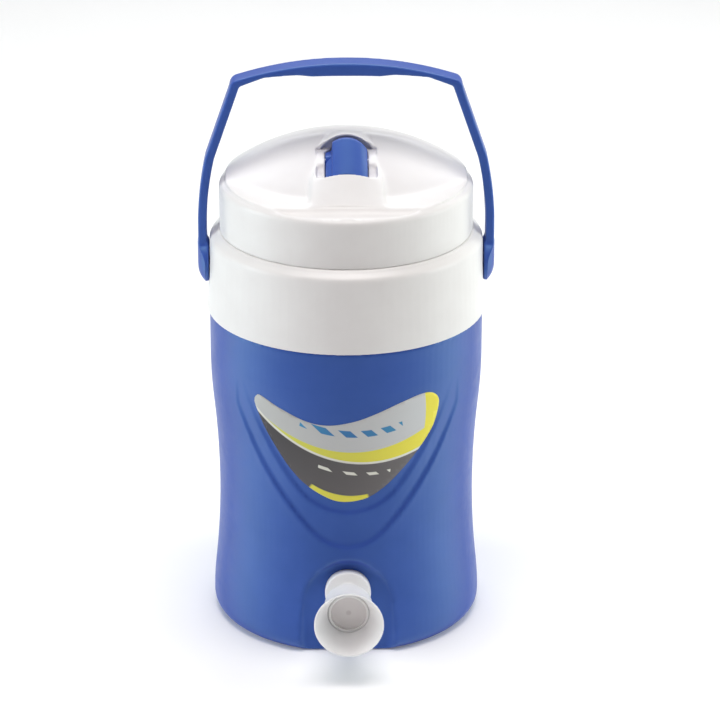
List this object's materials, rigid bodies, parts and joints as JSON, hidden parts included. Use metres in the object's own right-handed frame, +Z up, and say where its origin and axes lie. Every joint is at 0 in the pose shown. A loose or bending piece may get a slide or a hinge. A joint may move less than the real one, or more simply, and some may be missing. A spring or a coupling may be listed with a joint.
{
  "type": "beverage dispenser",
  "caption": "Round insulated drinks jug with a waisted shell, screw lid with flip-up pourer, swinging bail handle, foam-filled wall and push-button tap in an arched recess.",
  "frame": {"origin": "centre of the base, on the plane that the jug stands on", "axes": "+Z up along the jug's axis, -Y towards the tap, X across along the handle's pivots"},
  "size_m": [0.1914, 0.2205, 0.3767],
  "materials": {
    "blue_plastic": "satin blue moulded plastic",
    "white_plastic": "white moulded plastic with a soft gloss",
    "foam": "cream insulating foam",
    "label_film": "printed film with plain bands of colour",
    "white_rubber": "soft white silicone",
    "spring_steel": "drawn stainless steel"
  },
  "bodies": {
    "jug": {"outer_shell": "blue_plastic", "foam_plug": "blue_plastic", "inner_liner": "white_plastic", "body_foam": "foam", "collar": "white_plastic", "label": "label_film", "tap_body": "white_plastic", "tap_outer_gasket": "white_rubber", "tap_inner_gasket": "white_rubber", "tap_nut": "white_plastic", "rod_seal": "white_rubber", "tap_spring": "spring_steel"},
    "seal_ring": {"lid_seal": "white_rubber"},
    "lid": {"lid_shell": "white_plastic", "lid_cup": "white_plastic", "lid_foam": "foam", "pouring_tube": "white_plastic", "pourer_pin": "spring_steel"},
    "pourer": {"pourer": "blue_plastic", "stopper": "white_rubber"},
    "handle": {"handle": "blue_plastic"},
    "tap_button": {"tap_button": "white_plastic", "valve_disc": "white_rubber", "valve_washer": "spring_steel"}
  },
  "joints": [
    {"name": "lid_lift", "type": "slide", "parent": "jug", "child": "seal_ring", "axis": [0, 0, 1], "range_m": [0, 0.0161]},
    {"name": "lid_turn", "type": "hinge", "parent": "seal_ring", "child": "lid", "pos_m": [0, 0, 0.284], "axis": [0, 0, 1], "range_deg": [0, 240]},
    {"name": "pourer_flip", "type": "hinge", "parent": "lid", "child": "pourer", "pos_m": [0, -0.0095, 0.313], "axis": [-1, 0, 0], "range_deg": [0, 90]},
    {"name": "handle_swing", "type": "hinge", "parent": "jug", "child": "handle", "pos_m": [0, 0, 0.2435], "axis": [1, 0, 0], "range_deg": [-120, 120]},
    {"name": "tap_press", "type": "slide", "parent": "jug", "child": "tap_button", "axis": [0, 1, 0], "range_m": [0, 0.005], "stiffness_N_per_m": 900, "springref_m": -0.004, "deforming": ["tap_spring"]}
  ],
  "couplings": [
    {"joint": "lid_lift", "follows": "lid_turn", "m_per_rad": 0.0038197}
  ]
}
